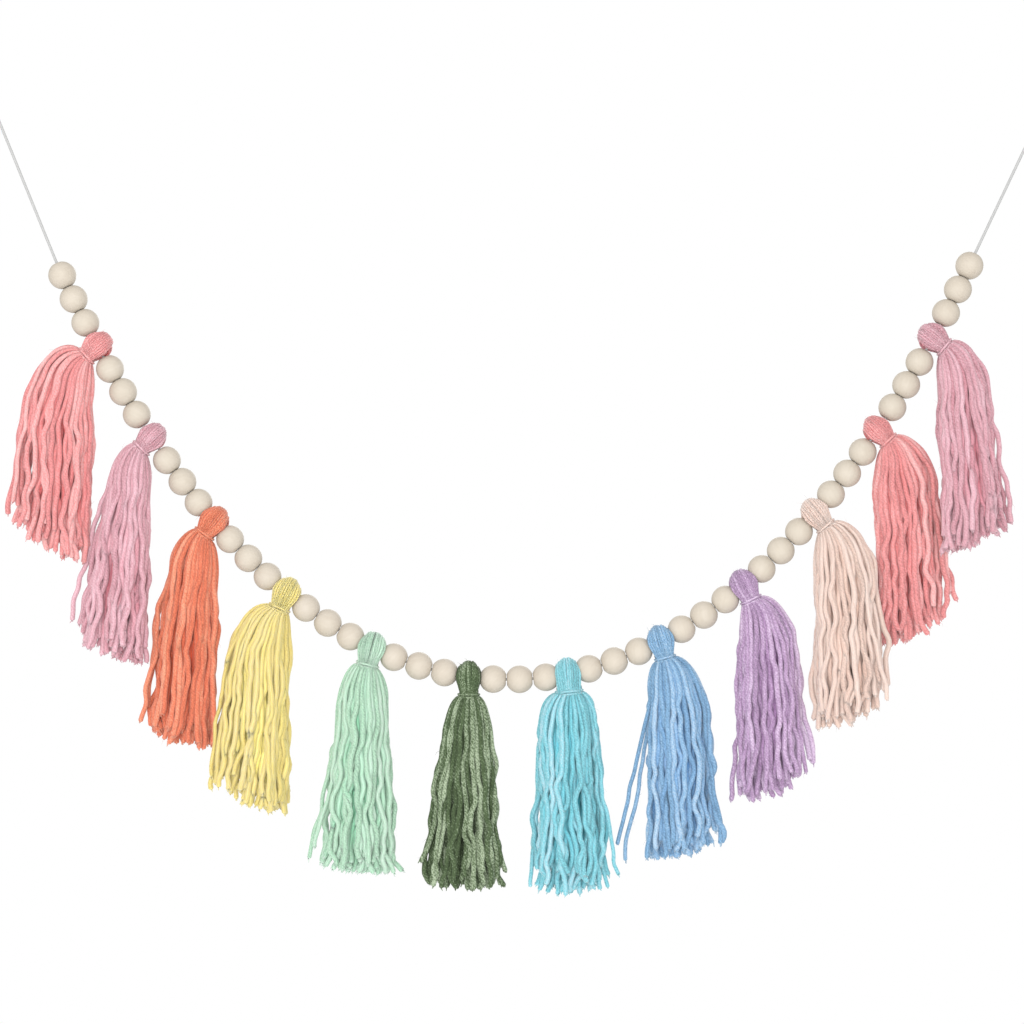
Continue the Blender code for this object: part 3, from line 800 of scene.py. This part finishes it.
def parted(lines):
    """The yarns pressed apart where they would run through each other."""
    width = yarn_width(np.arange(lines.shape[1]) * YARN_STEP)
    for _ in range(PARTING_ROUNDS):
        apart = lines[:, None] - lines[None]
        distance = np.linalg.norm(apart, axis=-1) + SAME_PLACE
        overlap = np.clip(PARTED_TO * width - distance, 0.0, None)
        overlap *= 1.0 - np.eye(len(lines))[:, :, None]
        push = (apart / distance[..., None] * (0.5 * overlap)[..., None]).sum(axis=1)
        push[:, 0] = 0.0
        for _ in range(2):
            push[:, 1:-1] = 0.25 * push[:, :-2] + 0.5 * push[:, 1:-1] + 0.25 * push[:, 2:]
        lines = lines + PARTING_SHARE * push
    return lines


def skirt_strands(tassel, knot, axis, across_tie, draws):
    """All hanging yarns of a tassel, and beside them the frayed plies at their ends."""
    strays = STRAYS.get(tassel.name, ())
    across, depth = yarn_places(strays)
    fallen = falling_lines(tassel, knot, across_tie, across, depth, draws)
    lines = wavy_lines(tassel, fallen, across, depth, draws)
    lines = with_strays(tassel, strays, fallen, lines)
    shorter = SHORTER_BY * draws.random(len(lines)) ** FEW_ARE_SHORT
    shorter[YARNS:] = [stray.shorter for stray in strays]
    lengths = tassel.length - shorter
    # How much painted shade each yarn carries, by how deep inside the skirt it leaves the binding.
    painted_shade = np.clip((BURIED_WITHIN - np.hypot(across, depth)) / BURIED_OVER, 0.0, 1.0)
    thicknesses = draws.uniform(*YARN_VARIES, len(lines))
    thicknesses[YARNS:] *= STRAY_THICKNESS
    strands, frayed = [], []
    for line, length, deep, thickness in zip(parted(lines), lengths, painted_shade, thicknesses):
        travelled = np.arange(len(line)) * YARN_STEP
        kept = travelled < length
        line, travelled = line[kept], travelled[kept]
        root = line[0] - axis * ABOVE_TIE
        last_step = (line[-1] - line[-2]) / np.linalg.norm(line[-1] - line[-2])
        shoulder = line[-1] + SHOULDER_PAST * last_step
        tip = shoulder + TIP_PAST * last_step
        path = np.concatenate([[root], line, [shoulder, tip]])
        width = yarn_width(travelled) * thickness
        width = np.concatenate([[NECK_YARN], width, [SHOULDER_WIDTH * width[-1], TIP_WIDTH * width[-1]]])
        # The painted shade fades towards the yarn's end, where it shows.
        painted_shade_amount = deep * np.clip((travelled[-1] - travelled) / SHOWS_NEAR_END, LEAST_BURIED, 1.0)
        painted_shade_amount = np.concatenate([[deep], painted_shade_amount, [painted_shade_amount[-1], painted_shade_amount[-1]]])
        tone = draws.uniform(-1.0, 1.0)
        strands.append(strand(path * MM, width * MM, TOWARDS_BACK, YARN_SIDES, tone, painted_shade_amount))
        for _ in range(FRAYED_PLIES):
            aside = draws.normal(0.0, FRAYED_ASIDE, 3)
            place = tip + draws.normal(0.0, FRAYED_APART, 3)
            reaches = np.array((FRAYED_FROM, FRAYED_BEND, draws.uniform(*FRAYED_TO)))
            path = place + reaches[:, None] * (last_step + aside)
            frayed.append(strand(
                path * MM, FRAYED_RADII * MM, TOWARDS_BACK, FRAYED_SIDES, FRAYED_TONE, painted_shade_amount[-1]
            ))
    return strands, frayed


def head_outline(tassel):
    """Half outline of a head, as depth and height, from the binding up over the top."""
    return np.array((
        (tassel.neck - 0.6, -tassel.tie - 1.4),
        (tassel.neck - 0.7, -tassel.tie),
        (tassel.neck + 0.6, -tassel.tie + 2.2),
        (7.9, -3.4),
        (8.5, 0.0),
        (8.0, 3.6),
        (6.2, 6.9),
        (3.4, 8.9),
        (0.0, HEAD_TOP),
    ))


def smooth_through(corners, count):
    """Points on a smooth line through the corners."""
    corners = np.asarray(corners, float)
    before = np.concatenate([[2 * corners[0] - corners[1]], corners, [2 * corners[-1] - corners[-2]]])
    result = []
    for place in np.linspace(0.0, len(corners) - 1.0, count):
        index = min(int(place), len(corners) - 2)
        t = place - index
        a, b, c, d = before[index:index + 4]
        result.append(0.5 * (
            2 * b + (c - a) * t + (2 * a - 5 * b + 4 * c - d) * t * t + (3 * b - a - 3 * c + d) * t ** 3
        ))
    return np.array(result)


def head_yarn_line(tassel, over, share, inset, sway_from):
    """One yarn's line over the string, in the tassel's own axes. Its share says how far across it lies."""
    from_middle = np.linalg.norm(over - (0.0, HEAD_MIDDLE), axis=1)
    shrink = (from_middle - inset) / from_middle
    squash = (1.0 - abs(share) ** HEAD_ROUNDNESS) ** (1 / HEAD_ROUNDNESS)
    depth = over[:, 0] * shrink * (HEAD_EDGE_DEPTH + (1.0 - HEAD_EDGE_DEPTH) * squash)
    height = (over[:, 1] - HEAD_MIDDLE) * shrink + HEAD_MIDDLE
    lower = 1.0 - HEAD_EDGE_LOWER * abs(share) ** HEAD_EDGE_POWER
    height = np.where(height > 0.0, height * lower, height)
    towards_neck = np.clip(-over[:, 1] / (tassel.tie - 1.0), 0.0, 1.0) ** NECK_NARROWS
    half_width = (tassel.head - HEAD_YARN) * (1.0 - towards_neck)
    half_width = half_width + (tassel.neck - HEAD_YARN) * towards_neck
    half_width = half_width * (1.0 - HEAD_TOP_NARROWER * np.clip(over[:, 1] / HEAD_TOP, 0.0, 1.0) ** 2)
    sway = HEAD_SWAY * np.sin(np.linspace(0.0, HEAD_SWAY_TURN, len(over)) + sway_from)
    return np.stack([share * half_width + sway * (1.0 - towards_neck), depth, height], axis=1)


def head_strands(tassel, stance, bead_middles, draws):
    """Layers of yarn laid over the string, pressed in by the beads on both sides."""
    half = head_outline(tassel)
    outline = smooth_through(np.concatenate([half * (-1.0, 1.0), half[-2::-1]]), HEAD_YARN_POINTS)
    strands = []
    outer = round(2.0 * tassel.head / HEAD_YARN_PITCH)
    for layer, fewer in enumerate(HEAD_LAYERS_FEWER):
        over = outline if layer < FINE_HEAD_LAYERS else outline[::2]
        loops = outer - fewer
        for number in range(loops):
            share = (number + 0.5) / loops * 2.0 - 1.0
            share *= 1.0 - HEAD_EDGE_IN / (1 + layer)
            inset = HEAD_YARN * (HEAD_INSET + HEAD_LAYER_INSET * layer) - draws.uniform(*HEAD_INSET_VARIES)
            path = head_yarn_line(tassel, over, share, inset, draws.uniform(0.0, math.tau))
            path = path @ stance[:3, :3].T + stance[:3, 3]
            tone = draws.uniform(*HEAD_TONE)
            # The head's inner layers carry painted shade.
            painted_shade = min(1.0, HEAD_BURIED * layer)
            rings, travelled, marks = strand(
                path * MM, HEAD_YARN * MM, stance[:3, 0], YARN_SIDES, tone, painted_shade
            )
            for middle in bead_middles:
                away = rings - middle
                distance = np.linalg.norm(away, axis=-1, keepdims=True)
                rings = middle + away * np.maximum(1.0, (BEAD_RADIUS + CLEAR_OF_BEAD) / distance)
            strands.append((rings, travelled, marks))
    return strands


def tie_strands(tassel, stance, draws):
    """The binding: two tight turns of the same yarn that cross, its ends tucked in at the back."""
    turn = np.linspace(0.0, 1.0, TIE_POINTS)
    angle = 0.5 * math.pi + TIE_TURNS * math.tau * turn
    tucked = np.clip(np.abs(turn - 0.5) * 2.0 - TUCKED_FROM, 0.0, 1.0) / (1.0 - TUCKED_FROM)
    radius = tassel.neck - TIE_BELOW_NECK + TIE_RISES * turn - TUCKED_DEPTH * tucked
    height = -tassel.tie + TIE_CROSSING * np.cos(0.5 * angle + draws.uniform(*TIE_CROSSES_AT))
    path = np.stack([radius * np.cos(angle), radius * np.sin(angle), height], axis=1)
    path = path @ stance[:3, :3].T + stance[:3, 3]
    return [strand(path * MM, TIE_YARN * MM, stance[:3, 2], TIE_SIDES, TIE_TONE)]


def stray_fibres(strands, draws):
    """Single fibres that stand off the yarns and soften the outline."""
    fibres = []
    for _ in range(FIBRES):
        rings, _, marks = strands[draws.integers(len(strands))]
        level = draws.integers(2, len(rings) - 1)
        side = draws.integers(rings.shape[1])
        root = rings[level, side]
        middle = rings[level].mean(axis=0)
        out = (root - middle) / np.linalg.norm(root - middle)
        along = middle - rings[level - 1].mean(axis=0)
        along /= np.linalg.norm(along)
        lead = along * draws.choice((-1.0, 1.0)) + FIBRE_SWERVES * draws.normal(0.0, FIBRE_SCATTER, 3)
        length = draws.uniform(*FIBRE_LENGTH) * MM
        path = [root - FIBRE_ROOT * out]
        for rise, run in zip(FIBRE_RISES, FIBRE_RUNS):
            path.append(root + length * (rise * out + run * lead))
        reference = np.cross(out, along) + NOT_ALONG
        fibres.append(strand(path, FIBRE_RADII * MM, reference, FIBRE_SIDES, *marks[level]))
    return fibres


yarn_finishes = {
    name: spun_finish(name + "_yarn", dye_and_shade, YARN_PLIES, YARN_LAY) for name, dye_and_shade in YARN_DYES_AND_PAINTED_SHADES.items()
}
for number, tassel in enumerate(TASSELS):
    draws = np.random.default_rng(TASSEL_SEED + number)
    x = tassel_places[number]
    lean = math.radians(tassel.lean)
    axis = np.array((math.sin(lean), 0.0, -math.cos(lean)))
    across_tie = np.array((-axis[2], 0.0, axis[0]))
    on_string = np.array(string_point(x)) / MM
    stance = np.eye(4)
    stance[:3, :3] = np.stack([across_tie, TOWARDS_BACK, -axis], axis=1)
    stance[:3, 3] = on_string
    half_pitch = (BEAD_PITCH + TASSEL_WIDTHS[number] * MM) / 2
    bead_middles = [np.array(string_point(along_string(x, side * half_pitch))) for side in (-1, 1)]
    skirt, frayed = skirt_strands(tassel, on_string + axis * tassel.tie, axis, across_tie, draws)
    head = head_strands(tassel, stance, bead_middles, draws)
    fuzz = stray_fibres(skirt + head[:FUZZY_HEAD_YARNS], draws)
    finish = yarn_finishes[tassel.yarn]
    yarns = strand_piece(tassel.name + "_tassel", skirt + head + frayed + fuzz, finish)
    tie = strand_piece(tassel.name + "_tie", tie_strands(tassel, stance, draws), finish)
    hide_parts("tassel_" + tassel.name)
    for piece in (yarns, tie):
        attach(piece, "root")


# The studio: a pale floor well below the garland, a white surround, one wide soft light above and in
# front, a strong one from beside the camera that fills the gaps between the yarns, and one behind.
FLOOR_BELOW = 0.85
FLOOR_RADIUS = 1.9
FLOOR_SIDES = 96
FLOOR_ROUGHNESS = 0.9
FLOOR_CLOUDS = 3.0
FLOOR_SHADES = (Stop(0.0, (0.80, 0.80, 0.80)), Stop(1.0, (0.86, 0.86, 0.86)))
Panel = namedtuple("Panel", "name width height energy away")
PANELS = (
    Panel("softbox", 1.2, 0.9, 6.0, (-0.6, -1.6, 0.6)),
    Panel("camera_light", 0.6, 0.6, 24.0, (-0.1, -1.8, 0.1)),
    Panel("back_light", 1.2, 0.9, 16.0, (0.3, 1.7, 0.5)),
)
floor_angle = np.linspace(0.0, math.tau, FLOOR_SIDES + 1)[:-1]
floor_mesh = bpy.data.meshes.new("studio_floor")
floor_mesh.from_pydata(
    [(PICTURE_MIDDLE.x + FLOOR_RADIUS * math.cos(angle), FLOOR_RADIUS * math.sin(angle),
      PICTURE_MIDDLE.z - FLOOR_BELOW) for angle in floor_angle],
    [], [list(range(FLOOR_SIDES))],
)
floor_finish, floor_tree, floor_surface = new_finish("pale_floor")
floor_surface.inputs["Roughness"].default_value = FLOOR_ROUGHNESS
floor_noise = floor_tree.nodes.new("ShaderNodeTexNoise")
floor_noise.inputs["Scale"].default_value = FLOOR_CLOUDS
floor_shade = ramp_node(floor_tree, floor_noise.outputs[0], FLOOR_SHADES)
floor_tree.links.new(floor_shade, floor_surface.inputs["Base Color"])
floor_mesh.materials.append(floor_finish)
floor = bpy.data.objects.new("studio_floor", floor_mesh)
bpy.context.scene.collection.objects.link(floor)

surround = bpy.data.worlds.new("white_surround")
surround.use_nodes = True
surround.node_tree.nodes["Background"].inputs["Color"].default_value = (1.0, 1.0, 1.0, 1.0)
surround.node_tree.nodes["Background"].inputs["Strength"].default_value = 1.0
bpy.context.scene.world = surround

for panel in PANELS:
    lamp = bpy.data.lights.new(panel.name, "AREA")
    lamp.shape = "RECTANGLE"
    lamp.size = panel.width
    lamp.size_y = panel.height
    lamp.energy = panel.energy
    light = bpy.data.objects.new(panel.name, lamp)
    light.location = PICTURE_MIDDLE + Vector(panel.away)
    light.rotation_euler = (PICTURE_MIDDLE - light.location).to_track_quat("-Z", "Y").to_euler()
    bpy.context.scene.collection.objects.link(light)
bpy.context.scene.view_settings.view_transform = "Standard"
